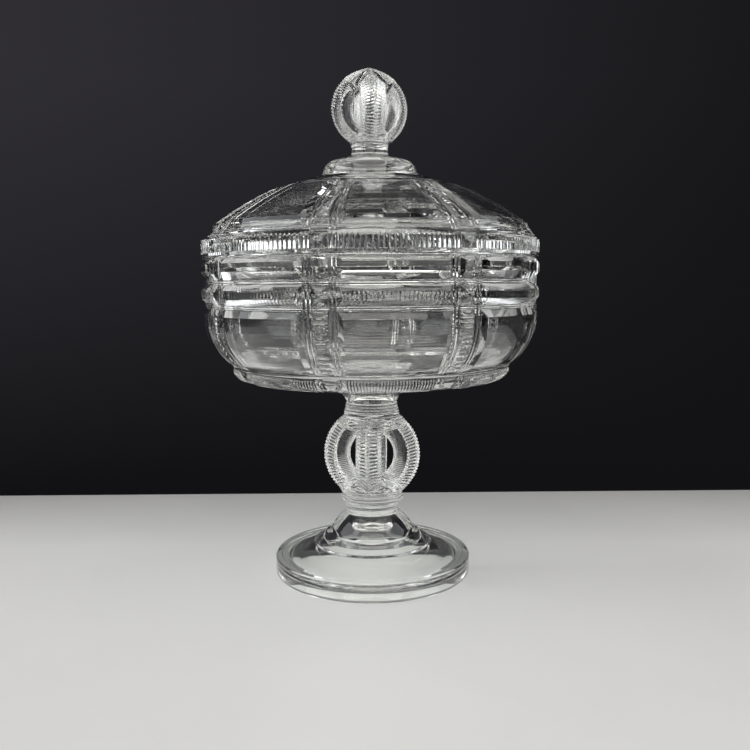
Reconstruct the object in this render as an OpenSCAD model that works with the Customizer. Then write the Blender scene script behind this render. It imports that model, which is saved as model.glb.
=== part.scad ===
// Covered candy dish on a tall stem, in clear pressed glass, in millimetres.
// The dish stands on z = 0 with its axis on +Z. One of the eight panels faces -Y.
// It was pressed as separate pieces that were joined while hot: the foot, a ring of
// soft glass, the open knop, a second ring and the bowl make the lower half. The cover
// and its open finial make the loose upper half, which lifts off.

/* [Foot] */
// Radius of the foot
foot_r = 49.5; // [44:0.5:56]
// Height of the edge of the foot
foot_edge_h = 9.5; // [8:0.5:12]
// Height of the whole foot, up to the joint below the stem
foot_h = 31.5; // [28:0.5:36]

/* [Stem] */
// Height of the ring of glass between the foot and the knop
foot_wafer_h = 7; // [5:0.5:10]
// Radius of the open knop
knop_r = 24.5; // [21:0.5:28]
// Height of the knop, between the two rings
knop_h = 42.5; // [40:0.5:44]
// Angle of the knop's arches from the bowl's panels
knop_turn = -12.5; // [-22.5:0.5:22.5]
// Height of the ring of glass between the knop and the bowl
bowl_wafer_h = 6; // [4:0.5:9]

/* [Bowl] */
// Radius of the bowl and the cover at their widest
bowl_r = 82.5; // [76:0.5:90]
// Height of the bowl, from its joint to its rim
bowl_h = 70.5; // [64:0.5:78]
// Thickness of the bowl's wall
wall = 4.8; // [4:0.2:6]
// Number of panels round the bowl and the cover
panels = 8; // [6:1:10]
// Width of the upright bars between the panels
bar_w = 15; // [10:1:18]

/* [Cover] */
// Height of the cover, from its seat to the joint below the finial
cover_h = 52.5; // [48:0.5:56]
// Depth of the flange that drops into the bowl
flange_h = 5; // [3:0.5:8]
// Gap between the cover and the rim that it rests on
seat_gap = 0.2; // [0.1:0.1:0.4]

/* [Finial] */
// Radius of the open finial
finial_r = 18.6; // [16:0.2:21]

/* [Hidden] */
$fn = 96;

// Heights of the joints, from the table up
z_knop = foot_h + foot_wafer_h;
z_bowl_wafer = z_knop + knop_h;
z_bowl = z_bowl_wafer + bowl_wafer_h;
z_rim = z_bowl + bowl_h;
z_cover = z_rim + seat_gap;
z_finial = z_cover + cover_h;

// Radii of the necks where the pieces join
foot_neck_r = 13;
step_r = 29;
dome_r = 24.5;
knop_neck_r = 14;
bowl_neck_r = 12.5;
finial_neck_r = 9;

// The bowl: its floor, the ledge below its windows, and its bands
ledge_r = bowl_r - 13.5;
ledge_z = z_bowl + 13.5;
window_h = 27;
strap_in = 1.8;
zip_z = z_rim - 16.5;
zip_h = 9;
bowl_mouth_r = bowl_r - wall - 0.6;
floor_z = z_bowl + 11;
floor_r = ledge_r - 9;

// The cover: its upright edge band, its slope and the disc below the finial
edge_h = 7;
slope_in = 5;
slope_z = z_cover + 14.6;
disc_r = 22;
disc_z = z_finial - 11;
flange_clear = 0.5;
cover_wall = wall - 0.3;

// The panels: one faces -Y, and the upright bars stand between them
pocket_angle = 360 / panels - bar_w / bowl_r * 180 / PI;
pocket_depth = 0.8;

// Points of an arc from angle a0 to a1 about (cx, cz), with radii rx and rz
function arc(cx, cz, rx, rz, a0, a1, n) =
    [for (k = [0 : n]) let (a = a0 + (a1 - a0) * k / n) [cx + rx * cos(a), cz + rz * sin(a)]];

// Outline of the windows, which curve in below
window_arc = arc(bowl_r - 26.5, ledge_z + window_h, 26, window_h - 3, -60, 0, 6);

// Outer outline of the bowl, from its neck to its rim
bowl_outline = concat(
    [[bowl_neck_r, z_bowl]],
    arc(15, ledge_z - 3.5, ledge_r - 18, 6, -90, -28, 5),
    [[ledge_r, ledge_z - 2.5], [ledge_r, ledge_z + 2]],
    window_arc,
    [[bowl_r - strap_in, z_rim - 24]],
    arc(bowl_r - strap_in, zip_z, strap_in, zip_h / 2, -90, 90, 6),
    [[bowl_r - strap_in, z_rim - 9.8], [bowl_r - 0.5, z_rim - 6.5],
     [bowl_r - 0.5, z_rim - 1.2], [bowl_r - 1.4, z_rim]]
);

// Inner outline of the bowl, from its rim to the axis: the windows' curve less the wall,
// then a shallow dish
bowl_inside = concat(
    [[bowl_mouth_r, z_rim]],
    arc(bowl_r - 26.5, ledge_z + window_h, 26 - wall, window_h - 3 - wall, 0, -60, 6),
    arc(floor_r - 26, floor_z + 13, 28, 13, -25, -90, 5),
    [[0, floor_z]]
);

// The cover's slope: a parabola that starts at the disc and steepens towards the edge
slope_top = [disc_r + 0.8, disc_z - 0.5];
slope_foot = [bowl_r - slope_in, slope_z];
slope_start = 0.22;
slope_run = slope_foot[0] - slope_top[0];
slope_bend = (slope_top[1] - slope_foot[1] - slope_start * slope_run) / pow(slope_run, 2);
slope_steps = 6;
function slope_point(t) = let (x = t * slope_run)
    [slope_top[0] + x, slope_top[1] - slope_start * x - slope_bend * x * x];
slope_arc = [for (k = [slope_steps : -1 : 0]) slope_point(k / slope_steps)];

// Outer outline of the cover, from its edge to the joint below the finial
cover_outline = concat(
    [[bowl_r - 0.4, z_cover], [bowl_r - 0.4, z_cover + edge_h],
     [bowl_r - 3.4, z_cover + edge_h + 3]],
    slope_arc,
    [[disc_r + 0.8, disc_z + 2], [disc_r, disc_z + 3.6],
     [disc_r - 4, disc_z + 4.4], [finial_neck_r + 2.4, disc_z + 6.4],
     [finial_neck_r + 1, z_finial - 2], [finial_neck_r - 0.3, z_finial]]
);

// Inner outline of the cover, from the top of its hollow to its flange and seat
cover_inside = concat(
    [[0, slope_top[1] - cover_wall]],
    [for (k = [0 : slope_steps - 1]) slope_point(k / slope_steps) - [1.2, cover_wall]],
    [[bowl_mouth_r - wall, z_cover + edge_h], [bowl_mouth_r - wall, z_rim - flange_h],
     [bowl_mouth_r - flange_clear - 0.6, z_rim - flange_h],
     [bowl_mouth_r - flange_clear, z_cover]]
);

// Outer outline of the foot, from its resting face to the joint: an edge band with a rim
// bead, a rise to a thin step, and a dome below the neck
foot_outline = concat(
    [[foot_r - 1, 0], [foot_r, 1], [foot_r, foot_edge_h - 1.5],
     [foot_r - 1.5, foot_edge_h], [foot_r - 6.5, foot_edge_h],
     [foot_r - 7.5, foot_edge_h - 0.6], [step_r + 1, foot_edge_h + 4.6],
     [step_r, foot_edge_h + 6], [dome_r, foot_edge_h + 7.4]],
    arc(0, foot_edge_h + 7.4, dome_r, foot_h - foot_edge_h - 6.4, 12, 54, 5),
    [[foot_neck_r, foot_h]]
);
foot_rest_w = 6;

// Hollow under the foot, from the resting face to the axis
foot_hollow = concat([[foot_r - 1.5 - foot_rest_w, 0], [foot_r - 9.5, 3.4]],
    arc(0, 3.4, 36, 10, 25, 90, 6));

// Outline of one ring of an open ball, seen along the ring's axis and cut flat at z0 and z1
module ring_outline(ball_r, hole_w, hole_h, z0, z1)
    intersection() {
        difference() {
            circle(r = ball_r);
            polygon(arc(0, 0, hole_w, hole_h, 0, 345, 23));
        }
        translate([-ball_r * 2, z0]) square([ball_r * 4, z1 - z0]);
    }

// Open ball of two crossing rings, which make four arches round an empty middle
module open_ball(ball_r, arch_w, hole_w, hole_h, z0, z1)
    for (turn = [0, 90])
        rotate([90, 0, turn])
            translate([0, 0, -arch_w / 2])
                linear_extrude(height = arch_w)
                    ring_outline(ball_r, hole_w, hole_h, z0, z1);

// Revolves an outline whose points start and end on the axis or close on themselves
module turned(outline) rotate_extrude() polygon(outline);

// A shallow pocket between two bars, for each panel, whose back follows the points given
module panel_pockets(back)
    for (k = [0 : panels - 1])
        rotate([0, 0, -90 + k * 360 / panels - pocket_angle / 2])
            rotate_extrude(angle = pocket_angle)
                polygon(concat(back, [[bowl_r + 9, back[len(back) - 1][1]], [bowl_r + 9, back[0][1]]]));

module foot() {
    color("gainsboro")
        difference() {
            turned(concat([[0, 0]], foot_outline, [[0, foot_h]]));
            turned(concat([[0, 0]], foot_hollow));
        }
}

module foot_wafer() {
    color("lightgray")
        turned([[0, foot_h], [foot_neck_r - 0.6, foot_h], [foot_neck_r + 0.4, foot_h + 1],
                [foot_neck_r + 0.4, foot_h + 3.4], [foot_neck_r - 0.2, foot_h + 4.2],
                [foot_neck_r + 2.6, foot_h + 5.2], [foot_neck_r + 2.8, z_knop],
                [0, z_knop]]);
}

module stem_knop() {
    z_mid = z_knop + knop_h / 2;
    cap = 3.2;
    color("whitesmoke") {
        translate([0, 0, z_mid])
            rotate([0, 0, knop_turn])
                open_ball(knop_r, 11.6, 11, 11.5, -knop_h / 2, knop_h / 2);
        translate([0, 0, z_knop]) cylinder(r1 = knop_neck_r + 1.8, r2 = knop_neck_r, h = cap);
        translate([0, 0, z_bowl_wafer - cap]) cylinder(r = knop_neck_r, h = cap);
    }
}

module bowl_wafer() {
    color("lightgray")
        turned([[0, z_bowl_wafer], [knop_neck_r - 0.2, z_bowl_wafer],
                [knop_neck_r, z_bowl_wafer + 1.2], [bowl_neck_r + 0.2, z_bowl - 1.2],
                [bowl_neck_r, z_bowl], [0, z_bowl]]);
}

module bowl() {
    color("azure")
        difference() {
            turned(concat([[0, z_bowl]], bowl_outline, bowl_inside));
            panel_pockets([for (p = window_arc) [p[0] - pocket_depth, p[1]]]);
        }
}

module cover() {
    color("azure")
        difference() {
            turned(concat(cover_inside, cover_outline, [[0, z_finial]]));
            panel_pockets([for (k = [slope_steps - 1 : -1 : 1])
                slope_point(k / slope_steps) - [pocket_depth / 2, pocket_depth]]);
        }
}

module finial() {
    color("whitesmoke") {
        translate([0, 0, z_finial + 1.8 + finial_r])
            open_ball(finial_r, 8.8, 8.3, 8.7, -finial_r + 1, finial_r);
        translate([0, 0, z_finial])
            cylinder(r1 = finial_neck_r - 0.3, r2 = finial_neck_r + 0.2, h = 4.6);
    }
}

foot();
foot_wafer();
stem_knop();
bowl_wafer();
bowl();
cover();
finial();
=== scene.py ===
# %% [markdown]
# # A covered candy dish in clear pressed glass
# The dish is about 250 mm tall: a round foot, a stem with an open ball of four ribbed arches,
# an eight-panelled bowl, and a loose cover with a smaller open ball on top. Pressed glass gets
# its sparkle from relief, so every bevel, rib and bead here is real geometry, and one plain
# glass material does the rest. Each cell below makes one piece, in metres, in the frame's axes.

# %% Load the frame
import math

import bpy
import numpy as np
from mathutils import Matrix, Vector


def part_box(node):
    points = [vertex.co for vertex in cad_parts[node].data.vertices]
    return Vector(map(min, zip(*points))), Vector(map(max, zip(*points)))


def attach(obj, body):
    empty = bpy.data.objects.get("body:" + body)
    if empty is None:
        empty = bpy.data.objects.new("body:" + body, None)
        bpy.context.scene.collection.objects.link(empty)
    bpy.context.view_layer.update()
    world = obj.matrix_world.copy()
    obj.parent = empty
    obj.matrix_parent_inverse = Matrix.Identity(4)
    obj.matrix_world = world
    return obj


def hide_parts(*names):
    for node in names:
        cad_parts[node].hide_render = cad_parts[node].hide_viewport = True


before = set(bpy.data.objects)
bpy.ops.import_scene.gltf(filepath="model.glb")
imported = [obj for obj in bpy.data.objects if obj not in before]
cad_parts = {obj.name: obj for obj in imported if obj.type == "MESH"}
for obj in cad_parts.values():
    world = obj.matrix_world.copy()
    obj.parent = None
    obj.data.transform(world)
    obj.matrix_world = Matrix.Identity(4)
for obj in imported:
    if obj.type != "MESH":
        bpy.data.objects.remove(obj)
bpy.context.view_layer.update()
MM = 0.001
print("nodes:", sorted(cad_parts))

# %% [markdown]
# ## Heights and radii
# Positions come from the frame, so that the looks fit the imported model. The joints between the
# pressings are where one node's box ends and the next begins. All shapes are worked out in
# millimetres and turned into metres when the mesh is made.

# %% Measure the frame


def span(node):
    """Lowest and highest height of a node, in millimetres."""
    low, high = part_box(node)
    return low[2] / MM, high[2] / MM


FOOT_TOP = span("foot")[1]
KNOP_LOW, KNOP_HIGH = span("stem_knop")
BOWL_LOW, RIM = span("bowl")
SEAT = RIM + 0.2
COVER_TOP = span("cover")[1]
TIP = span("finial")[1]
BOWL_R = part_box("bowl")[1][0] / MM
FOOT_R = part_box("foot")[1][0] / MM
PANELS = 8
joints = (FOOT_TOP, KNOP_LOW, KNOP_HIGH, BOWL_LOW, RIM, COVER_TOP, TIP)
print("joints at", [round(z, 1) for z in joints])

# %% [markdown]
# ## A skin made of grids
# A pressed piece is one closed surface, but its bands need different numbers of columns: a plain
# window is happy with few, and a band of fine ribs needs many. So a piece is built as a stack of
# grids, each a function of two parameters, and neighbouring rows with different counts are
# stitched with triangles. Each grid square is cut along whichever diagonal lies closer to the
# true surface, which keeps the mitred corners of the bevels sharp.

# %% The skin class


class Skin:
    """Collects points and triangles of one closed surface. Glass faces have mark 0, welds mark 1."""

    def __init__(self):
        self.points, self.faces, self.marks, self.count = [], [], [], 0

    def add_points(self, points):
        """Stores an array of points (..., 3) and returns their numbers in the same layout."""
        flat = points.reshape(-1, 3)
        numbers = np.arange(self.count, self.count + len(flat)).reshape(points.shape[:-1])
        self.points.append(flat)
        self.count += len(flat)
        return numbers

    def add_faces(self, faces, mark=0):
        self.faces.append(np.asarray(faces).reshape(-1, 3))
        self.marks.append(np.full(len(self.faces[-1]), mark))

    def grid(self, surface, u, v, closed=360.0):
        """Squares of surface(U, V) over columns u, which wrap after closed, and rows v.

        The middle of each square is worked out too. The square is cut along the diagonal whose own
        middle is nearer to it.
        """
        points = surface(*np.meshgrid(u, v))
        numbers = self.add_points(points)
        u_next = np.append(u[1:], u[0] + closed)
        middle = surface(*np.meshgrid((u + u_next) / 2, (v[1:] + v[:-1]) / 2))
        after = np.roll(points, -1, axis=1)
        gap_a = np.linalg.norm((points[:-1] + after[1:]) / 2 - middle, axis=-1)
        gap_b = np.linalg.norm((after[:-1] + points[1:]) / 2 - middle, axis=-1)
        n_after = np.roll(numbers, -1, axis=1)
        a, b, c, d = numbers[:-1], n_after[:-1], n_after[1:], numbers[1:]
        first = gap_a <= gap_b
        one = np.where(first[..., None], np.stack([a, b, c], -1), np.stack([a, b, d], -1))
        two = np.where(first[..., None], np.stack([a, c, d], -1), np.stack([b, c, d], -1))
        self.add_faces(one)
        self.add_faces(two)
        return numbers

    def stitch(self, row_a, row_b, u_a, u_b, closed=360.0):
        """Joins two closed rows of different counts.

        Each edge of a row makes a triangle with the point of the other row that is level with the
        edge's middle.
        """
        mid_a = (u_a + np.append(u_a[1:], u_a[0] + closed)) / 2
        mid_b = (u_b + np.append(u_b[1:], u_b[0] + closed)) / 2
        top_a = np.searchsorted(mid_b, mid_a, side="left") % len(row_b)
        top_b = np.searchsorted(mid_a, mid_b, side="right") % len(row_a)
        self.add_faces(np.stack([row_a, np.roll(row_a, -1), row_b[top_a]], -1))
        self.add_faces(np.stack([np.roll(row_b, -1), row_b, row_a[top_b]], -1))

    def cap(self, row, height, last=True, mark=0):
        """Closes a row with a fan to a point on the axis. last: the row ends the stack."""
        hub = self.add_points(np.array([[0.0, 0.0, height]]))[0]
        turn = np.roll(row, -1)
        fan = [row, turn] if last else [turn, row]
        self.add_faces(np.stack(fan + [np.full(len(row), hub)], -1), mark)

    def make(self, name, crease=32.0, merge=0.0005):
        """Makes the object, in metres: doubles merged, faces outwards, sharp edges marked.

        The volume is a sixth of the sum of each triangle's first corner dotted with the cross
        product of the other two. A negative one means that the faces point inwards.
        """
        points = np.concatenate(self.points)
        faces = np.concatenate(self.faces)
        marks = np.concatenate(self.marks)
        keys, first, where = np.unique(np.round(points / merge).astype(np.int64), axis=0,
                                       return_index=True, return_inverse=True)
        points, faces = points[first], where.reshape(-1)[faces]
        whole = (faces != np.roll(faces, 1, axis=1)).all(axis=1)
        faces, marks = faces[whole], marks[whole]
        corner = points[faces]
        volume = np.einsum("ij,ij->", corner[:, 0], np.cross(corner[:, 1], corner[:, 2])) / 6
        if volume < 0:
            faces = faces[:, ::-1]
        mesh = bpy.data.meshes.new(name)
        mesh.vertices.add(len(points))
        mesh.vertices.foreach_set("co", (points * MM).astype(np.float32).ravel())
        mesh.loops.add(faces.size)
        mesh.loops.foreach_set("vertex_index", faces.astype(np.int32).ravel())
        mesh.polygons.add(len(faces))
        mesh.polygons.foreach_set("loop_start", np.arange(0, faces.size, 3, dtype=np.int32))
        mesh.polygons.foreach_set("material_index", marks.astype(np.int32))
        mesh.update(calc_edges=True)
        mesh.validate()
        mesh.shade_smooth()
        mesh.set_sharp_from_angle(angle=math.radians(crease))
        edges = np.sort(np.concatenate([faces[:, [0, 1]], faces[:, [1, 2]], faces[:, [2, 0]]]), axis=1)
        uses = np.unique(edges, axis=0, return_counts=True)[1]
        print(f"{name}: {len(faces)} triangles, {abs(volume) / 1000:.1f} cm3,"
              f" open edges {np.sum(uses != 2)}")
        piece = bpy.data.objects.new(name, mesh)
        bpy.context.collection.objects.link(piece)
        return piece


# %% [markdown]
# ## Outlines
# A turned shape is an outline of radius and height carried round the axis. Outlines mix straight
# runs and arcs. Bands of relief need to know how far along the outline they are, and which way is
# outwards, so an outline is also resampled by its length.

# %% Outline helpers


def arc(cx, cz, rx, rz, start, end, steps=10):
    """Points of an elliptical arc about (cx, cz), from one angle to another in degrees."""
    a = np.radians(np.linspace(start, end, steps + 1))
    return np.stack([cx + rx * np.cos(a), cz + rz * np.sin(a)], -1)


def rounded(points, radius, steps=4):
    """Rounds each inner corner of an outline.

    The corner is replaced by a quadratic curve that leaves and meets the two straight runs at the
    given distance from the corner, or less where a run is short.
    """
    points = np.asarray(points, float)
    out = [points[:1]]
    t = np.linspace(0, 1, steps + 1)[:, None]
    for before, here, after in zip(points[:-2], points[1:-1], points[2:]):
        reach = min(radius, np.linalg.norm(here - before) * 0.45, np.linalg.norm(after - here) * 0.45)
        a = here + (before - here) / np.linalg.norm(before - here) * reach
        b = here + (after - here) / np.linalg.norm(after - here) * reach
        out.append(a * (1 - t) ** 2 + 2 * here * t * (1 - t) + b * t ** 2)
    out.append(points[-1:])
    return np.concatenate(out)


def lengths(outline):
    """Distance along the outline of each of its points."""
    return np.append(0, np.cumsum(np.linalg.norm(np.diff(outline, axis=0), axis=1)))


def turned_rows(outline):
    """The surface of a turned outline: u is the angle in degrees and v counts the outline's points."""
    steps = np.arange(len(outline))

    def surface(u, v):
        r, z = np.interp(v, steps, outline[:, 0]), np.interp(v, steps, outline[:, 1])
        return np.stack([r * np.cos(np.radians(u)), r * np.sin(np.radians(u)), z], -1)

    return surface


def around(count, start=0.0):
    """Angles of evenly spaced columns, in degrees."""
    return start + np.arange(count) * 360.0 / count


def turned_piece(name, outline, columns=160, weld_low=True, crease=32.0):
    """A closed turned piece whose first and last points lie on the flat faces at its two ends."""
    skin = Skin()
    rows = skin.grid(turned_rows(outline), around(columns), np.arange(len(outline)))
    skin.cap(rows[0], outline[0, 1], last=False, mark=int(weld_low))
    skin.cap(rows[-1], outline[-1, 1], last=True, mark=1)
    return skin.make(name, crease)


# %% [markdown]
# ## The foot
# The foot is a plain turned shape: an edge band with a rim bead, a gentle rise to a thin step, a
# second step, and a small dome that runs up to the joint. Underneath it is hollow, which is why
# the table shows through it so brightly.

# %% Make the foot
NECK_R = 13.0
BAND_H = 9.5
STEP_R, STEP_H = 29.3, 15.9
DOME_R, DOME_H = 23.5, 20.2
HOLLOW_R, HOLLOW_H = 43.0, 21.8
dome_low = (DOME_R - 1.5, DOME_H + 0.4)
foot_top = rounded([
    (FOOT_R - 1.0, 0.0), (FOOT_R - 0.1, 0.9), (FOOT_R - 0.1, BAND_H - 0.7), (FOOT_R - 0.8, BAND_H),
    (FOOT_R - 3.0, BAND_H + 0.1), (FOOT_R - 3.6, BAND_H - 0.4), (FOOT_R - 6.2, BAND_H - 0.3),
    (FOOT_R - 6.8, BAND_H - 0.8), (STEP_R + 0.6, STEP_H - 1.1), (STEP_R, STEP_H),
    (STEP_R - 0.7, STEP_H + 0.2), (DOME_R + 1.7, DOME_H - 2.9), (DOME_R + 0.9, DOME_H - 1.3),
    (DOME_R, DOME_H), dome_low], 0.28, 3)
foot_dome = rounded([
    dome_low, (DOME_R - 2.6, DOME_H + 1.6), (DOME_R - 3.9, FOOT_TOP - 7.3),
    (DOME_R - 5.9, FOOT_TOP - 4.7), (DOME_R - 8.3, FOOT_TOP - 2.5), (NECK_R + 0.3, FOOT_TOP - 1.1),
    (NECK_R, FOOT_TOP)], 1.6, 5)
foot_under = np.concatenate([
    rounded([
        (0.01, HOLLOW_H), (8.8, HOLLOW_H - 0.4), (12.4, HOLLOW_H - 3.2), (17.6, HOLLOW_H - 9.0),
        (25.0, HOLLOW_H - 12.0), (34.0, 6.2), (HOLLOW_R - 1.6, 4.0), (HOLLOW_R, 0.0)], 2.4, 5),
    [[FOOT_R - 1.0, 0.0]]])
foot = turned_piece("foot_glass", np.concatenate([foot_under[:-1], foot_top, foot_dome[1:]]),
                    columns=192, weld_low=False, crease=24.0)

# %% [markdown]
# ## The two rings between the pressings
# Where two pressings were joined, the hot glass was squeezed into a ring. Both rings are turned.
# Their flat ends lie on the neighbours' flat ends, and get the weld finish, which lets light go
# straight through as in one piece of glass.

# %% Make the rings
foot_wafer = turned_piece("foot_wafer_glass", rounded([
    (NECK_R, FOOT_TOP), (NECK_R - 0.2, FOOT_TOP + 1.7), (NECK_R + 0.5, FOOT_TOP + 2.4),
    (NECK_R + 0.7, FOOT_TOP + 3.4), (NECK_R, FOOT_TOP + 4.3), (NECK_R + 1.6, FOOT_TOP + 4.9),
    (NECK_R + 2.8, FOOT_TOP + 5.7), (NECK_R + 2.9, KNOP_LOW - 0.4), (NECK_R + 2.4, KNOP_LOW)], 0.4))
BOWL_NECK_R = 12.8
bowl_wafer = turned_piece("bowl_wafer_glass", rounded([
    (BOWL_NECK_R + 1.1, KNOP_HIGH), (BOWL_NECK_R + 1.2, KNOP_HIGH + 0.8),
    (BOWL_NECK_R + 0.7, KNOP_HIGH + 1.4), (BOWL_NECK_R + 0.8, KNOP_HIGH + 2.2),
    (BOWL_NECK_R + 0.3, KNOP_HIGH + 2.8), (BOWL_NECK_R + 0.5, KNOP_HIGH + 3.6),
    (BOWL_NECK_R, KNOP_HIGH + 4.2), (BOWL_NECK_R + 0.2, BOWL_LOW - 0.9),
    (BOWL_NECK_R - 0.2, BOWL_LOW - 0.3), (BOWL_NECK_R - 0.3, BOWL_LOW)], 0.4))

# %% [markdown]
# ## The relief of the bowl
# Eight wide panels alternate with narrow upright bars. A panel is a stack of raised cells with
# bevelled edges. A bar is a narrow column of small raised cells between two pairs of round
# fillets, and pairs of level fillets run right round between the cells. The relief of any point is
# the highest of these features there, so crossing fillets make the little X marks of the real
# mould by themselves. Across, everything is measured in degrees from the middle of a bar.

# %% Layout across a panel
SECTOR = 360.0 / PANELS
CORE = 2.55
FILLETS = (3.35, 4.65)
FILLET_HALF = 0.62
PANEL_EDGE = 5.45
SIDE_BEVEL = 1.75
FIRST_BAR = -90.0 - SECTOR / 2


def from_bar(u):
    """Signed angle from the nearest bar, and the angle from the nearest panel's edge inwards."""
    a = np.mod(u - FIRST_BAR + SECTOR / 2, SECTOR) - SECTOR / 2
    return a, np.abs(a) - PANEL_EDGE


def columns(ribs, per_rib, flat=7):
    """Column angles once round, from the middle of a bar.

    The bar has columns at its core's edges and across its fillets. The panel has columns at its
    bevels, and then either a few even ones or per_rib for each of its ribs.
    """
    fillet = [f + FILLET_HALF * t for f in FILLETS for t in (-1, -0.62, 0, 0.62, 1)]
    half = np.array([0.0, 0.9, 1.7, CORE - 0.55, CORE] + fillet)
    inner = PANEL_EDGE + SIDE_BEVEL
    count = ribs * per_rib if ribs else flat
    start, end = (PANEL_EDGE, SECTOR - PANEL_EDGE) if ribs else (inner, SECTOR - inner)
    panel = np.linspace(start, end, count + 1)
    if not ribs:
        bevel = np.linspace(PANEL_EDGE, inner, 4)[:-1]
        panel = np.concatenate([bevel, panel, SECTOR - bevel[::-1]])
    one = np.concatenate([half, panel, SECTOR - half[:0:-1]])
    return (one + (np.arange(PANELS) * SECTOR)[:, None]).ravel() + FIRST_BAR


def bump(x):
    """A half-round bump: 1 at x = 0 and 0 at x = 1 and beyond."""
    return np.sqrt(np.clip(1 - x ** 2, 0, 1))


def upright_fillets(u):
    """The highest of the half-round fillets that run up each side of a bar, from 0 to 1."""
    a = np.abs(from_bar(u)[0])
    return np.max([bump((a - f) / FILLET_HALF) for f in FILLETS], axis=0)


def cell(across, v, low, high, side, low_bevel, high_bevel):
    """A bevelled block: 0 at its edges, rising to 1 over each edge's own bevel width."""
    rise = np.minimum(across / side, np.minimum((v - low) / low_bevel, (high - v) / high_bevel))
    return np.clip(rise, 0, 1)


plain_columns = columns(0, 0)
print("plain columns:", len(plain_columns))

# %% [markdown]
# ## The bowl
# The outline below is the level of the troughs between the cells, from the rim down to the joint.
# The relief stands on it. v is the height for the upright wall, and below the windows it is the
# distance along the outline, so that the underside's ribs stay even.

# %% Outline and bands of the bowl
# Heights of the bands, from the rim down
BLOCK = (RIM - 10.0, RIM - 0.9)
UPPER_STRAP = (RIM - 12.2, RIM - 10.2)
ZIPPER = (RIM - 20.9, RIM - 12.3)
LOWER_STRAP = (RIM - 22.9, RIM - 21.0)
WINDOW = (RIM - 50.2, RIM - 23.1)
LEDGE = (RIM - 51.8, RIM - 50.2)
BLOCK_LOW_BEVEL, BLOCK_TOP_BEVEL = 3.4, 1.8
WINDOW_LOW_BEVEL, WINDOW_TOP_BEVEL = 2.2, 3.1
TROUGH = 2.6
WINDOW_BEND = RIM - 30.0
BEND_R, BEND_H = 28.4, 24.1

wall_outline = np.concatenate([
    [(BOWL_R - TROUGH, RIM - 0.9), (BOWL_R - TROUGH, WINDOW_BEND + 5), (BOWL_R - TROUGH, WINDOW_BEND)],
    arc(BOWL_R - BEND_R, WINDOW_BEND, BEND_R - TROUGH, BEND_H, 0, -57, 14)[1:]])
ledge_r, ledge_z = wall_outline[-1]
under_outline = rounded(np.concatenate([
    wall_outline[-1:],
    [(ledge_r - 0.2, ledge_z - 1.4), (ledge_r - 0.5, ledge_z - 4.4), (ledge_r - 2.8, ledge_z - 6.9),
     (ledge_r - 10.0, ledge_z - 8.8), (ledge_r - 30.0, ledge_z - 11.6), (18.4, BOWL_LOW + 6.0),
     (14.8, BOWL_LOW + 3.6), (BOWL_NECK_R, BOWL_LOW + 0.8), (BOWL_NECK_R - 0.3, BOWL_LOW)]]), 2.6, 5)
print("ledge at", np.round(wall_outline[-1], 2))


def on_outline(outline, by_height=False):
    """Point and outward direction of an outline, as functions of height or of length along it.

    The outward direction is the outline's own direction, from point to point, turned by a quarter.
    """
    along = -outline[:, 1] if by_height else lengths(outline)
    step = np.gradient(outline, axis=0)
    out = np.stack([-step[:, 1], step[:, 0]], -1)
    out /= np.linalg.norm(out, axis=1)[:, None]

    def at(v):
        x = -v if by_height else v
        return [np.interp(x, along, column) for column in (*outline.T, *out.T)]

    return at


def raised(at, relief):
    """Surface of an outline with relief(u, v) standing out of it."""

    def surface(u, v):
        r, z, out_r, out_z = at(v)
        h = relief(u, v)
        r, z = r + out_r * h, z + out_z * h
        return np.stack([r * np.cos(np.radians(u)), r * np.sin(np.radians(u)), z], -1)

    return surface


def level_fillets(v, band):
    """Two round fillets side by side that fill a band."""
    half = (band[1] - band[0]) / 4
    return np.maximum(bump((v - band[0] - half) / half), bump((v - band[1] + half) / half))


RUNG = 2.05
ZIP_RIBS = 27
FILLET_RISE = 0.95
BLOCK_RISE = TROUGH - 0.3
BAR_RISE = 1.9
WINDOW_RISE = 1.55
RUNG_RISE = 0.75
FADE_RUN = 24.0


def wall_relief(u, v):
    """Relief of the upright wall: the highest of the blocks, the windows, the rungs and the fillets.

    The relief fades to a bit under half on the way down to the ledge. A rung is a half-round bump
    both up and down and across its bar.
    """
    a, inside = from_bar(u)
    core = CORE - np.abs(a)
    fade = np.clip((v - LEDGE[1]) / FADE_RUN, 0.45, 1)
    h = FILLET_RISE * upright_fillets(u) * fade
    for strap in (UPPER_STRAP, LOWER_STRAP):
        h = np.maximum(h, FILLET_RISE * level_fillets(v, strap))
    h = np.maximum(h, BLOCK_RISE * cell(inside, v, *BLOCK, SIDE_BEVEL, BLOCK_LOW_BEVEL, BLOCK_TOP_BEVEL))
    h = np.maximum(h, BAR_RISE * cell(core, v, *BLOCK, 0.8, 2.4, 1.2))
    window = cell(inside, v, *WINDOW, SIDE_BEVEL, WINDOW_LOW_BEVEL, WINDOW_TOP_BEVEL)
    h = np.maximum(h, (WINDOW_RISE * fade + 0.1) * window)
    middle = np.mod(v - WINDOW[0], RUNG) / RUNG - 0.5
    rung = bump(middle / 0.46) * bump(a / (CORE * 0.86))
    ladder = cell(core, v, *WINDOW, 0.7, 1.0, 2.2) * RUNG_RISE * (1 + rung)
    return np.maximum(h, ladder * fade)


ZIP_RISE = 2.35
ZIP_CUT = 0.6
PYRAMID_RISE = 2.3


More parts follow.
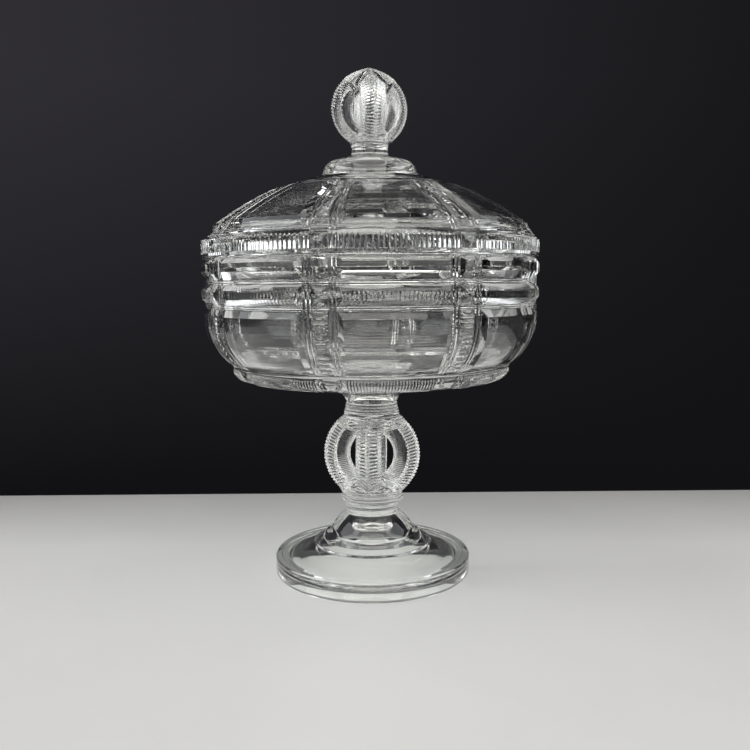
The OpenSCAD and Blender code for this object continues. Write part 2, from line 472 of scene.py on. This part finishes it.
def zipper_relief(u, v):
    """Relief of the zipper band: a rounded roof cut by ribs, and a small pyramid on each bar.

    A rib is the size of a sine of the angle. The cut fades out towards the roof's upper edge.
    """
    a, inside = from_bar(u)
    core = CORE - np.abs(a)
    low, high = ZIPPER
    centre, half = (low + high) / 2, (high - low) / 2
    across = np.clip((v - centre) / half, -1, 1)
    roof = np.clip((1 - np.abs(across)) / 0.55, 0, 1) ** 0.8
    turn = (np.abs(a) - PANEL_EDGE) / (SECTOR - 2 * PANEL_EDGE) * ZIP_RIBS
    rib = np.abs(np.sin(np.pi * turn))
    cut = np.clip((0.62 - across) / 0.3, 0, 1)
    panel = np.minimum(roof, np.clip(inside / SIDE_BEVEL, 0, 1)) * (ZIP_RISE - ZIP_CUT * cut * (1 - rib))
    pyramid = np.minimum(np.clip(core / CORE, 0, 1), 1 - np.abs(across)) * PYRAMID_RISE
    h = np.maximum(panel, pyramid)
    return np.maximum(h, FILLET_RISE * upright_fillets(u))


UNDER_RIBS = 30
UNDER_BAND = (1.9, 12.5)
UNDER_STRAPS = (4.0, 5.6)
UNDER_RIB_RISE, UNDER_STRAP_RISE = 0.55, 0.6
RING_AT, RING_HALF, RING_RISE = 0.9, 0.85, 0.7


def under_relief(u, v):
    """Relief below the ledge: a round ring, then fine ribs across the turn of the underside.

    The straps on either side of a bar close in as they go down, because the angle that they are
    measured in has a share of the distance added to it.
    """
    a, inside = from_bar(u)
    ring = RING_RISE * bump((v - RING_AT) / RING_HALF)
    spread = np.abs(a) + 0.35 * np.clip(v - UNDER_BAND[0], 0, 6)
    straps = np.max([bump((spread - f) / FILLET_HALF) for f in UNDER_STRAPS], axis=0)
    low, high = UNDER_BAND
    window = np.clip(np.minimum(v - low, high - v) / 1.5, 0, 1)
    turn = (np.abs(a) - PANEL_EDGE) / (SECTOR - 2 * PANEL_EDGE) * UNDER_RIBS
    ribs = np.abs(np.sin(np.pi * turn)) * np.clip(inside / 0.8, 0, 1)
    straps = UNDER_STRAP_RISE * straps * np.clip((9 - v) / 3, 0, 1)
    return np.maximum(ring, window * np.maximum(UNDER_RIB_RISE * ribs, straps))


# %% Rows of the bowl


def rows_of(*breaks):
    """Row positions through a list of (position, steps to the next one) pairs."""
    out = [np.linspace(a, b, n, endpoint=False) for (a, n), (b, _) in zip(breaks[:-1], breaks[1:])]
    return np.append(np.concatenate(out), breaks[-1][0])


block_rows = rows_of((BLOCK[1], 4), (BLOCK[1] - BLOCK_TOP_BEVEL, 2), (BLOCK[0] + BLOCK_LOW_BEVEL, 5),
                     (BLOCK[0], 1), (UPPER_STRAP[1], 10), (UPPER_STRAP[0], 0))
zipper_rows = rows_of((ZIPPER[1], 5), (ZIPPER[1] - 2.3, 6), (ZIPPER[0] + 2.3, 5), (ZIPPER[0], 0))
window_rows = rows_of((LOWER_STRAP[1], 10), (LOWER_STRAP[0], 1), (WINDOW[1], 6),
                      (WINDOW[1] - WINDOW_TOP_BEVEL, 72), (WINDOW[0] + WINDOW_LOW_BEVEL, 5),
                      (WINDOW[0], 0))
under_length = lengths(under_outline)[-1]
under_rows = rows_of((0.05, 7), (1.8, 1), (2.2, 9), (12.6, 0))
centre_rows = rows_of((13.2, 16), (under_length, 0))
zip_columns = columns(ZIP_RIBS, 4)
under_columns = columns(UNDER_RIBS, 4)
print("rows:", len(block_rows), len(zipper_rows), len(window_rows), len(under_rows))

# %% [markdown]
# The inside of the bowl is smooth and turned. Its curve follows the windows a wall's thickness
# further in, and then runs out into a shallow dish, so the corner below the windows is thick glass
# that bends light strongly.

# %% Make the bowl
MOUTH_R = BOWL_R - 5.4
INSIDE_R, INSIDE_H = BEND_R - 6.4, BEND_H - 3.7
FLOOR = BOWL_LOW + 12.6
rim_edge = rounded([(BOWL_R - TROUGH, RIM - 0.9), (BOWL_R - TROUGH - 0.1, RIM), (MOUTH_R + 1.0, RIM),
                    (MOUTH_R, RIM - 0.6), (MOUTH_R - 0.2, RIM - 8)], 0.5)
bowl_inside = np.concatenate([
    rim_edge[-1:], arc(BOWL_R - BEND_R, WINDOW_BEND, INSIDE_R, INSIDE_H, 0, -58, 16),
    arc(36.0, FLOOR + 12.5, 26.0, 12.5, -28, -88, 14), [(20.0, FLOOR + 0.1), (0.01, FLOOR)]])


def bowl_skin():
    """The bowl's grids, from the middle of its floor over the rim and down to the joint."""
    skin = Skin()
    wall = raised(on_outline(wall_outline, by_height=True), wall_relief)
    zipper = raised(on_outline(wall_outline, by_height=True), zipper_relief)
    under = raised(on_outline(under_outline), under_relief)
    inside = np.concatenate([rim_edge[1:], bowl_inside[1:]])[::-1]
    smooth = around(224, FIRST_BAR)
    r_in = skin.grid(turned_rows(inside), smooth, np.arange(len(inside)))
    r_block = skin.grid(wall, plain_columns, block_rows)
    r_zip = skin.grid(zipper, zip_columns, zipper_rows)
    r_window = skin.grid(wall, plain_columns, window_rows)
    r_under = skin.grid(under, under_columns, under_rows)
    r_centre = skin.grid(under, smooth, centre_rows)
    skin.cap(r_in[0], FLOOR, last=False)
    skin.stitch(r_in[-1], r_block[0], smooth, plain_columns)
    skin.stitch(r_block[-1], r_zip[0], plain_columns, zip_columns)
    skin.stitch(r_zip[-1], r_window[0], zip_columns, plain_columns)
    skin.stitch(r_window[-1], r_under[0], plain_columns, under_columns)
    skin.stitch(r_under[-1], r_centre[0], under_columns, smooth)
    skin.cap(r_centre[-1], BOWL_LOW, last=True, mark=1)
    return skin


RELIEF_CREASE = 14.0
bowl = bowl_skin().make("bowl_glass", RELIEF_CREASE)

# %% [markdown]
# ## The cover
# The cover's slope is a parabola that starts almost level at the disc and steepens towards the
# edge. Its panels line up with the bowl's. Below the slope comes a cove, then an upright band of
# ribs that the cove's slant cuts to points, and a smooth ledge. A flange inside drops into the bowl.

# %% Outlines of the cover
DISC_R = 22.8
DISC_Z = COVER_TOP - 11.5
SLOPE_R = BOWL_R - 5.0
SLOPE_Z = SEAT + 14.6
COVER_TROUGH = 1.6
SLOPE_START = 0.22


def slope_height(r):
    """Height of the cover's slope: the disc's height less a straight fall and a squared fall."""
    run = SLOPE_R - DISC_R
    bend = (DISC_Z - SLOPE_Z - SLOPE_START * run) / run ** 2
    return DISC_Z - SLOPE_START * (r - DISC_R) - bend * (r - DISC_R) ** 2


slope_r = np.linspace(DISC_R + 1.2, SLOPE_R - 2.7, 30)
slope_outline = np.concatenate([
    np.stack([slope_r, slope_height(slope_r) - COVER_TROUGH], -1), [(SLOPE_R + 1.4, SEAT + 9.9)]])
slope_long = lengths(slope_outline)


def slope_at(r):
    """Distance along the slope's outline at which the radius is r."""
    return float(np.interp(r, slope_outline[:, 0], slope_long))


crown = np.concatenate([
    rounded([(8.7, COVER_TOP), (9.1, COVER_TOP - 3.1), (15.0, COVER_TOP - 4.5)], 2.2, 7),
    rounded([(15.0, COVER_TOP - 4.5), (20.6, COVER_TOP - 6.1), (21.9, COVER_TOP - 8.0),
             (23.1, COVER_TOP - 10.9), slope_outline[0]], 0.6, 4)[1:]])
COVER_STRAP = (slope_at(37.6), slope_at(42.4))
EDGE_STRAP = (slope_long[-1] - 2.0, slope_long[-1] - 0.1)
COVER_WINDOW = (slope_at(43.0), EDGE_STRAP[0] - 0.2)
HIGH_BEVEL = 4.2
LOW_BEVEL = COVER_WINDOW[1] - slope_long[-2]
COVER_RUNG = 2.0
COVER_RISE = 0.8
COVER_RING = slope_at(30.5)


def slope_relief(u, v):
    """Relief of the slope: round fillets, a wide cell on each panel, and a row of rungs on each bar."""
    a, inside = from_bar(u)
    core = CORE + 0.4 - np.abs(a)
    start = np.clip((v - COVER_STRAP[0]) / 1.5, 0, 1)
    h = COVER_RISE * upright_fillets(u) * start
    for strap in (COVER_STRAP, EDGE_STRAP):
        h = np.maximum(h, COVER_RISE * level_fillets(v, strap))
    h = np.maximum(h, COVER_TROUGH * cell(inside, v, *COVER_WINDOW, SIDE_BEVEL, HIGH_BEVEL, LOW_BEVEL))
    middle = np.mod(v - COVER_WINDOW[0], COVER_RUNG) / COVER_RUNG - 0.5
    rung = bump(middle / 0.46) * bump(a / (CORE * 0.8))
    h = np.maximum(h, cell(core, v, *COVER_WINDOW, 0.8, 1.5, 3.0) * COVER_RISE * (1 + rung))
    ring = 0.6 * bump((v - COVER_RING) / 1.6)
    return np.maximum(h, ring)


EDGE_RIBS = 22
EDGE_R = BOWL_R - 0.5
EDGE_RUN = ((SLOPE_R + 1.4, SEAT + 9.9), (EDGE_R, SEAT + 7.1), (EDGE_R, SEAT + 2.3),
            (EDGE_R, SEAT + 1.9), (EDGE_R, SEAT + 0.4), (EDGE_R - 0.5, SEAT))
EDGE_RIB_DEPTH = 1.2


def edge_surface(u, v):
    """The upright band. v counts the corners of its outline.

    The ribs cut in from the edge's radius, and the slant above them cuts off whatever stands
    further out than it does, which gives the ribs their pointed tops.
    """
    corners = np.array(EDGE_RUN)
    r = np.interp(v, np.arange(len(corners)), corners[:, 0])
    z = np.interp(v, np.arange(len(corners)), corners[:, 1])
    a, inside = from_bar(u)
    turn = (np.abs(a) - PANEL_EDGE) / (SECTOR - 2 * PANEL_EDGE) * EDGE_RIBS
    rib = EDGE_RIB_DEPTH * (1 - np.abs(np.sin(np.pi * turn)) ** 0.8) * np.clip(inside / 0.3, 0, 1)
    low, high = EDGE_RUN[2][1], EDGE_RUN[1][1]
    diamond = np.minimum((CORE - np.abs(a)) / CORE, 1 - np.abs(2 * (z - low) / (high - low) - 1))
    block = 1.0 - np.maximum(0.9 * upright_fillets(u), np.clip(1.3 * diamond, 0, 1))
    cut = np.where(inside < 0, block, rib)
    z = z + 1.1 * cut * np.clip((z - SEAT - 5.6) / 1.5, 0, 1) * (z < high + 0.1)
    r = r - cut * (z < high + 1.3) * (z > SEAT + 2.1)
    return np.stack([r * np.cos(np.radians(u)), r * np.sin(np.radians(u)), z], -1)


# %% Make the cover
COVER_WALL = 4.3
FLANGE = 5.0
hollow_r = np.linspace(SLOPE_R - 6.0, DISC_R, 14)
cover_inside = rounded(np.concatenate([
    [(EDGE_R - 0.5, SEAT), (MOUTH_R - 0.5, SEAT), (MOUTH_R - 1.1, RIM - FLANGE),
     (MOUTH_R - 4.6, RIM - FLANGE), (MOUTH_R - 4.8, SEAT + 5)],
    np.stack([hollow_r, slope_height(hollow_r + 1.2) - COVER_WALL], -1),
    [(10.0, DISC_Z - COVER_WALL + 0.3), (0.01, DISC_Z - COVER_WALL + 0.4)]]), 0.6, 3)
slope_rows = rows_of((0, 6), (slope_at(29), 6), (slope_at(32.5), 3), (COVER_STRAP[0], 10),
                     (COVER_STRAP[1], 1), (COVER_WINDOW[0], 4), (COVER_WINDOW[0] + HIGH_BEVEL, 66),
                     (COVER_WINDOW[1] - LOW_BEVEL, 10), (COVER_WINDOW[1], 1), (EDGE_STRAP[0], 8),
                     (EDGE_STRAP[1], 1), (slope_long[-1], 0))
edge_rows = np.array([0, 0.5, 0.999, 1.1, 1.25, 1.375, 1.5, 1.625, 1.75, 1.999, 3.0, 4.0, 5.0])
edge_columns = columns(EDGE_RIBS, 4)


def cover_skin():
    """The cover's grids, from the joint below the finial over the edge and back to the axis inside."""
    skin = Skin()
    smooth = around(192, FIRST_BAR)
    r_crown = skin.grid(turned_rows(crown), smooth, np.arange(len(crown)))
    r_slope = skin.grid(raised(on_outline(slope_outline), slope_relief), plain_columns, slope_rows)
    r_edge = skin.grid(edge_surface, edge_columns, edge_rows)
    r_in = skin.grid(turned_rows(cover_inside), smooth, np.arange(len(cover_inside)))
    skin.cap(r_crown[0], COVER_TOP, last=False, mark=1)
    skin.stitch(r_crown[-1], r_slope[0], smooth, plain_columns)
    skin.stitch(r_slope[-1], r_edge[0], plain_columns, edge_columns)
    skin.stitch(r_edge[-1], r_in[0], edge_columns, smooth)
    skin.cap(r_in[-1], cover_inside[-1, 1], last=True)
    return skin


cover = cover_skin().make("cover_glass", RELIEF_CREASE)

# %% [markdown]
# ## The open balls
# The knop and the finial are the same idea: four upright arches, each with a ridge outwards and
# rounded flanks, that meet above and below an empty middle. One half of one arch is enough to
# work out. Its section is carried from the bottom joint to the top, between an outer outline and
# the edge of the hole, and it is clipped where it meets its neighbour, on the plane halfway
# between the two. Eight turned and mirrored copies then close up into one solid.

# %% Half an arch
RIB_DEPTH = 0.55
FLANK_RIB_DEPTH = 0.16
GROOVE = 0.45
STEPS_PER_RIB = 6


def ramp(x, limits):
    """Rises smoothly from 0 to 1 between two limits: 3 t squared less 2 t cubed. No limits give 0."""
    if limits is None:
        return np.zeros_like(x)
    t = np.clip((x - limits[0]) / (limits[1] - limits[0]), 0, 1)
    return t * t * (3 - 2 * t)


def half_arch(outer, hole, half_w, vee, pitch, merge_low, merge_high, collar, cap):
    """A grid of points for one half of one arch, and which of them lie on the clipping plane.

    t runs from the bottom of the arch to the top. At each t there is a line from the edge of the
    hole, an ellipse, out to the ridge, and s runs round half of the section about it: 0 the ridge,
    1 the arch's edge, 2 a small groove, 3 the hole. Towards the joints the section widens to the
    plane halfway to the next arch and bends into a circle.
    """
    long = lengths(outer)
    count = int(round(long[-1] / pitch))
    t = np.linspace(0, 1, count * STEPS_PER_RIB + 1)
    s = np.concatenate([np.linspace(0, 1, 6), [1.5], np.linspace(2, 3, 9)])
    out_x, out_z = [np.interp(t * long[-1], long, column) for column in outer.T]
    psi = np.radians(-90 + 180 * t)
    in_x, in_z = hole[0] * np.cos(psi), hole[1] * np.sin(psi)
    join = np.maximum(ramp(-out_z, merge_low), ramp(out_z, merge_high))
    point = ramp(out_z, cap)
    width = half_w + (np.maximum(out_x, half_w) - half_w) * join + (out_x / 2 - half_w) * point
    depth = np.hypot(out_x - in_x, out_z - in_z)
    deep = vee + (out_x / 2 - vee) * point
    edge = 1 - deep / np.maximum(depth, deep * 1.5) * (1 - join)
    ribbed = (1 - 0.45 * join) * (1 - point) * (1 - ramp(np.abs(out_z), collar))
    cut = (1 - np.abs(np.sin(np.pi * t * count))) * ribbed
    fine = np.abs(np.sin(np.pi * t * count * 1.5))
    out_x, out_z, in_x, in_z, join, width, depth, edge, cut, fine = [
        column[:, None] for column in (out_x, out_z, in_x, in_z, join, width, depth, edge, cut, fine)]

    face = np.clip(s, 0, 1)
    groove = np.clip(s - 1, 0, 1)
    inner = np.radians(90 * np.clip(s - 2, 0, 1))
    depth_at = 1 - (1 - edge) * face - 0.05 * (1 - join) * groove
    wide = width * face - GROOVE * (1 - join) * groove
    depth_at = np.where(s > 2, depth_at * (1 - np.sin(inner)), depth_at)
    wide = np.where(s > 2, wide * np.cos(inner), wide)
    on_face = np.clip(1.15 - np.abs(s - 0.5), 0, 0.5) * 2 * (s < 2)
    on_flank = np.sin(np.pi * np.clip(s - 2, 0, 1)) ** 0.5
    depth_at = depth_at - RIB_DEPTH / depth * cut * on_face
    wide = wide - FLANK_RIB_DEPTH * (1 - fine) * (1 - join) * on_flank

    x = in_x + (out_x - in_x) * depth_at
    z = in_z + (out_z - in_z) * depth_at
    clipped = wide >= x - 1e-9
    y = np.minimum(wide, x)
    bend = 1 + join * (x / np.maximum(np.hypot(x, y), 1e-9) - 1)
    return np.stack([x * bend, y * bend, z], -1), clipped


# %% The open ball


def arch_faces(grid, clipped):
    """Triangles of the grid, cut along the shorter diagonals, without those that are clipped off."""
    numbers = np.arange(clipped.size).reshape(clipped.shape)
    a, b, c, d = numbers[:-1, :-1], numbers[:-1, 1:], numbers[1:, 1:], numbers[1:, :-1]
    short = (np.linalg.norm(grid[:-1, :-1] - grid[1:, 1:], axis=-1)
             <= np.linalg.norm(grid[:-1, 1:] - grid[1:, :-1], axis=-1))
    one = np.where(short[..., None], np.stack([a, b, c], -1), np.stack([a, b, d], -1))
    two = np.where(short[..., None], np.stack([a, c, d], -1), np.stack([b, c, d], -1))
    faces = np.concatenate([one.reshape(-1, 3), two.reshape(-1, 3)])
    return faces[~clipped.ravel()[faces].all(axis=1)]


def open_ball(name, middle, turn, **shape):
    """An open ball of four ribbed arches, made of eight turned and mirrored halves.

    middle is the ball's middle height and turn is its angle. The shape's values are:
    outer, the outline of the ridge, from the bottom to the top, about the middle;
    hole, the half width and half height of the opening;
    half_w and vee, half an arch's width and how far its ridge stands out from its edges;
    pitch, the distance from rib to rib;
    merge_low and merge_high, the heights below and above the middle between which the arches
    widen until they join into a round collar;
    collar, the heights between which the ribs fade;
    cap, the heights between which the arches turn into a point with four ridges.
    """
    grid, clipped = half_arch(**shape)
    faces = arch_faces(grid, clipped)
    on_ridge_face = slice(0, 6)
    skin = Skin()
    for quarter in range(4):
        angle = np.radians(turn + 90 * quarter)
        for side in (1, -1):
            x, y, z = grid[..., 0], grid[..., 1] * side, grid[..., 2] + middle
            moved = np.stack([x * np.cos(angle) - y * np.sin(angle),
                              x * np.sin(angle) + y * np.cos(angle), z], -1)
            numbers = skin.add_points(moved)
            skin.add_faces(numbers.ravel()[faces][:, ::side])
            for end, up in ((0, -1), (-1, 1)):
                if grid[end, 0, 0] < 0.01:
                    continue
                hub = skin.add_points(np.array([[0, 0, z[end, 0]]]))[0]
                row = numbers[end, on_ridge_face]
                fan = np.stack([row[:-1], row[1:], np.full(len(row) - 1, hub)], -1)
                skin.add_faces(fan[:, ::side * up], 1)
    return skin.make(name)


# %% Make the knop and the finial
KNOP_MIDDLE = (KNOP_LOW + KNOP_HIGH) / 2
KNOP_TURN = -12.5
KNOP_R = 24.5
knop_half = KNOP_HIGH - KNOP_MIDDLE
knop_outer = np.concatenate([
    [(15.2, -knop_half), (15.7, 0.5 - knop_half), (15.6, 1.2 - knop_half)],
    arc(0, 0, KNOP_R, KNOP_R, -52, 54, 60), [(14.1, knop_half - 0.9), (13.9, knop_half)]])
stem_knop = open_ball(
    "stem_knop_glass", KNOP_MIDDLE, KNOP_TURN, outer=knop_outer, hole=(11.0, 11.6), half_w=6.3, vee=5.0,
    pitch=1.75, merge_low=(16.1, 19.2), merge_high=(16.1, 19.2), collar=(19.4, 20.2), cap=None)
FINIAL_TOP = 19.6
FINIAL_R = 18.7
FINIAL_MIDDLE = TIP - FINIAL_TOP
finial_low = COVER_TOP - FINIAL_MIDDLE
finial_outer = np.concatenate([
    [(8.4, finial_low), (9.0, finial_low + 0.8), (9.1, finial_low + 2.1), (8.9, finial_low + 2.8)],
    arc(0, 0, FINIAL_R, FINIAL_R, -61, 55, 50), [(8.4, 16.7), (4.0, 18.5), (0.0, FINIAL_TOP)]])
finial = open_ball(
    "finial_glass", FINIAL_MIDDLE, 0.0, outer=finial_outer, hole=(8.2, 9.6), half_w=6.1, vee=4.0,
    pitch=1.5, merge_low=(14.2, 16.5), merge_high=None, collar=(15.8, 16.6), cap=(12.6, 14.6))

# %% [markdown]
# ## Clear glass
# One Principled shader with full transmission makes the glass. Old pressed glass isn't quite
# even: its skin has faint waves from the mould and small changes in how polished it is, so noise
# drives a weak bump and the roughness. A shadow ray sees a nearly clear film instead of the glass,
# which lets the lamps light the table through the dish as real glass does. The welds between
# pressings are plain Transparent, so that light passes them unbent.

# %% Shader helpers


class Socket:
    """Wraps a node's output, so that sums and products of values can be written as Python maths."""

    def __init__(self, tree, socket):
        self.tree, self.socket = tree, socket

    def node(self, kind, settings=None, **inputs):
        """Adds a node: its settings first, then its inputs, as values or links.

        An input's key is its name with _ for each space, or _ and its number.
        """
        made = self.tree.nodes.new(kind)
        for key, value in (settings or {}).items():
            setattr(made, key, value)
        for key, value in inputs.items():
            target = made.inputs[int(key[1:])] if key[0] == "_" else made.inputs[key.replace("_", " ")]
            if isinstance(value, Socket):
                self.tree.links.new(value.socket, target)
            else:
                target.default_value = value
        return made

    def math(self, operation, other):
        """Adds a Math node of this value and another value or number."""
        made = self.node("ShaderNodeMath", {"operation": operation}, _0=self, _1=other)
        return Socket(self.tree, made.outputs[0])

    def __mul__(self, other):
        return self.math("MULTIPLY", other)

    def __add__(self, other):
        return self.math("ADD", other)

    __rmul__, __radd__ = __mul__, __add__


# %% The two finishes
WAVE_SCALE, SKIN_SCALE = 55.0, 420.0


def bare_material(name):
    """A material with no nodes, and a Socket to start its tree from."""
    material = bpy.data.materials.new(name)
    material.use_nodes = True
    material.node_tree.nodes.clear()
    return material, Socket(material.node_tree, None)


def clear_glass():
    """Faintly wavy clear glass. To shadow rays it is a thin grey film."""
    material, start = bare_material("clear_glass")
    tree = material.node_tree
    place = Socket(tree, start.node("ShaderNodeTexCoord").outputs["Object"])
    waves, skin = [
        Socket(tree, start.node("ShaderNodeTexNoise", Vector=place, Scale=scale, Detail=2.0).outputs[0])
        for scale in (WAVE_SCALE, SKIN_SCALE)]
    relief = start.node("ShaderNodeBump", Height=waves * 0.8 + skin * 0.2, Strength=0.06,
                        Distance=0.0006)
    glass = start.node("ShaderNodeBsdfPrincipled", Base_Color=(0.98, 0.985, 0.968, 1.0), IOR=1.52,
                       Transmission_Weight=1.0, Roughness=skin * 0.03 + 0.005,
                       Normal=Socket(tree, relief.outputs[0]))
    film = start.node("ShaderNodeBsdfTransparent", Color=(0.93, 0.94, 0.935, 1.0))
    ray = start.node("ShaderNodeLightPath")
    mix = start.node("ShaderNodeMixShader", _0=Socket(tree, ray.outputs["Is Shadow Ray"]),
                     _1=Socket(tree, glass.outputs[0]), _2=Socket(tree, film.outputs[0]))
    start.node("ShaderNodeOutputMaterial", Surface=Socket(tree, mix.outputs[0]))
    return material


def hot_weld():
    """Nothing to see: light passes unbent where two pressings are one."""
    material, start = bare_material("hot_weld")
    film = start.node("ShaderNodeBsdfTransparent", Color=(1.0, 1.0, 1.0, 1.0))
    start.node("ShaderNodeOutputMaterial", Surface=Socket(material.node_tree, film.outputs[0]))
    return material


GLASS, WELD = clear_glass(), hot_weld()
pieces = {"foot": foot, "foot_wafer": foot_wafer, "stem_knop": stem_knop, "bowl_wafer": bowl_wafer,
          "bowl": bowl, "cover": cover, "finial": finial}
for node, piece in pieces.items():
    piece.data.materials.append(GLASS)
    piece.data.materials.append(WELD)
    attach(piece, "lid" if node in ("cover", "finial") else "dish")
    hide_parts(node)
print("pieces:", len(pieces))

# %% [markdown]
# ## Table, backdrop and light
# The dish stands on a pale table, close to its back edge, with darkness behind, and painted shade
# darkens the table's colour towards that edge. Clear glass only shows what is around it, so the dark
# behind draws its edges and the pale table fills its facets. The light is a large soft box overhead, a
# soft window to each side, and a dim front.

# %% Stage
VIEW_TURN = -7.5
view_axis = np.radians(VIEW_TURN)
TABLE_BACK = 0.148
# Painted shade on the table: how fast, from where and how far its colour darkens towards the back edge
TABLE_PAINTED_SHADE_RATE = 8.5
TABLE_PAINTED_SHADE_START = 0.3
TABLE_PAINTED_SHADE = 0.38
TABLE_CLOUD = 0.12


def from_view(x, y):
    """Places given across and along the view, turned into the frame's axes."""
    cosine, sine = np.cos(view_axis), np.sin(view_axis)
    return x * cosine - y * sine, x * sine + y * cosine


def table_board(name, low, high, colour, roughness, thick=0.02):
    """A flat board between two corners, given across and along the view, with its top at 0.

    Painted shade darkens its colour towards the back edge, in proportion to the distance past a
    starting line, in place of light falling off there. A soft noise keeps its tone from being flat.
    """
    flat = np.stack(from_view(*np.meshgrid([low[0], high[0]], [low[1], high[1]])), -1).reshape(-1, 2)
    corners = np.concatenate([np.c_[flat, np.full(4, -thick)], np.c_[flat, np.zeros(4)]])
    sides = [(0, 2, 3, 1), (4, 5, 7, 6), (0, 1, 5, 4), (1, 3, 7, 5), (3, 2, 6, 7), (2, 0, 4, 6)]
    mesh = bpy.data.meshes.new(name)
    mesh.from_pydata(corners.tolist(), [], sides)
    board = bpy.data.objects.new(name, mesh)
    bpy.context.collection.objects.link(board)
    material = bpy.data.materials.new(name)
    material.use_nodes = True
    tree = material.node_tree
    shader = tree.nodes["Principled BSDF"]
    shader.inputs["Roughness"].default_value = roughness
    start = Socket(tree, None)
    place = Socket(tree, start.node("ShaderNodeTexCoord").outputs["Object"])
    cloud = start.node("ShaderNodeTexNoise", Vector=place, Scale=9.0, Detail=3.0)
    away = start.node("ShaderNodeVectorMath", {"operation": "DOT_PRODUCT"}, _0=place,
                      _1=(-math.sin(view_axis), math.cos(view_axis), 0))
    # Painted shade: the table's colour darkens towards its back edge, in place of light falling off
    # there
    painted_shade = start.node("ShaderNodeMath", {"operation": "ADD", "use_clamp": True},
                     _0=Socket(tree, away.outputs["Value"]) * TABLE_PAINTED_SHADE_RATE, _1=-TABLE_PAINTED_SHADE_START)
    # The painted shade and a random cloud of tone together darken the table's colour
    painted_shade_and_cloud = Socket(tree, painted_shade.outputs[0]) * TABLE_PAINTED_SHADE + Socket(tree, cloud.outputs[0]) * TABLE_CLOUD
    tone = start.node("ShaderNodeMix", {"data_type": "RGBA"}, _0=painted_shade_and_cloud, _6=(*colour, 1),
                      _7=(0.0, 0.0, 0.0, 1))
    tree.links.new(tone.outputs[2], shader.inputs["Base Color"])
    mesh.materials.append(material)


table_board("table", (-0.9, -1.1), (0.9, TABLE_BACK), (0.65, 0.645, 0.64), 0.55)

# %% Dark room
ROOM_DARK, ROOM_PALE = (0.006, 0.006, 0.007, 1), (0.034, 0.032, 0.038, 1)


def dark_room():
    """A nearly black room, a little paler upwards and towards the left."""
    world = bpy.data.worlds.new("dark_room")
    world.use_nodes = True
    tree = world.node_tree
    start = Socket(tree, None)
    where = Socket(tree, start.node("ShaderNodeTexCoord").outputs["Generated"])
    split = start.node("ShaderNodeSeparateXYZ", Vector=where)
    across, up = Socket(tree, split.outputs["X"]), Socket(tree, split.outputs["Z"])
    lift = start.node("ShaderNodeMath", {"operation": "ADD", "use_clamp": True}, _0=up * 2.2, _1=0.5)
    tone = start.node("ShaderNodeMix", {"data_type": "RGBA"}, _6=ROOM_DARK, _7=ROOM_PALE,
                      _0=Socket(tree, lift.outputs[0]) * (across * -0.9 + 0.6))
    tree.links.new(tone.outputs[2], tree.nodes["Background"].inputs["Color"])
    return world


bpy.context.scene.world = dark_room()
print("room:", bpy.context.scene.world.name)

# %% Lamps
SIDE_AWAY = 0.85
TENT_MIDDLE = (0, 0, 0.1)
WARM, COOL, SOFT = (1.0, 0.985, 0.95), (0.95, 0.97, 1.0), (1.0, 0.99, 0.97)


def soft_box(name, place, aim, size, power, colour):
    """A rectangular lamp at a place, pointing at aim. Both are across, along and above the view."""
    lamp = bpy.data.lights.new(name, "AREA")
    lamp.shape = "RECTANGLE"
    lamp.size, lamp.size_y = size
    lamp.energy = power
    lamp.color = colour
    box = bpy.data.objects.new(name, lamp)
    bpy.context.collection.objects.link(box)

    start, end = [Vector((*from_view(x, y), z)) for x, y, z in (place, aim)]
    box.location = start
    box.rotation_euler = (end - start).to_track_quat("-Z", "Y").to_euler()
    box.visible_camera = False


soft_box("overhead", (0.0, -0.30, 1.05), (0, -0.2, 0), (1.2, 0.9), 8.4, WARM)
soft_box("left_wall", (-SIDE_AWAY, -0.2, 0.52), TENT_MIDDLE, (0.9, 0.75), 4.2, COOL)
soft_box("right_wall", (SIDE_AWAY, -0.2, 0.52), TENT_MIDDLE, (0.9, 0.75), 3.6, COOL)
soft_box("front_wall", (0.0, -1.15, 0.72), TENT_MIDDLE, (1.4, 0.7), 6.2, SOFT)
print("lamps:", len(bpy.data.lights))

# %% [markdown]
# ## Camera
# The camera stands about 0.4 m away, level with the middle of the bowl, and looks slightly down.

# %% Camera
CAMERA_AWAY = 0.4054
CAMERA_HEIGHT = 0.1462
CAMERA_DOWN = 6.525
CAMERA_ASIDE = 0.26
CAMERA_ROLL = 0.38
LENS = 38.9
lens = bpy.data.cameras.new("camera")
lens.lens = LENS
lens.clip_start = 0.01
camera = bpy.data.objects.new("camera", lens)
bpy.context.collection.objects.link(camera)
camera.location = (CAMERA_AWAY * math.sin(view_axis), -CAMERA_AWAY * math.cos(view_axis), CAMERA_HEIGHT)
camera.rotation_euler = (
    Matrix.Rotation(view_axis - math.radians(CAMERA_ASIDE), 3, "Z")
    @ Matrix.Rotation(math.radians(90 - CAMERA_DOWN), 3, "X")
    @ Matrix.Rotation(math.radians(-CAMERA_ROLL), 3, "Z")).to_euler()
scene = bpy.context.scene
scene.camera = camera
print("camera at", [round(c, 3) for c in camera.location])

# %% [markdown]
# ## Light paths
# A ray may cross a dozen glass walls on its way through the dish, so many bounces are allowed.

# %% Light paths
scene.cycles.max_bounces = 24
scene.cycles.transmission_bounces = 24
scene.cycles.glossy_bounces = 8
scene.cycles.transparent_max_bounces = 32
scene.cycles.caustics_reflective = False
scene.cycles.caustics_refractive = True
scene.view_settings.view_transform = "Standard"
print("bounces:", scene.cycles.max_bounces)
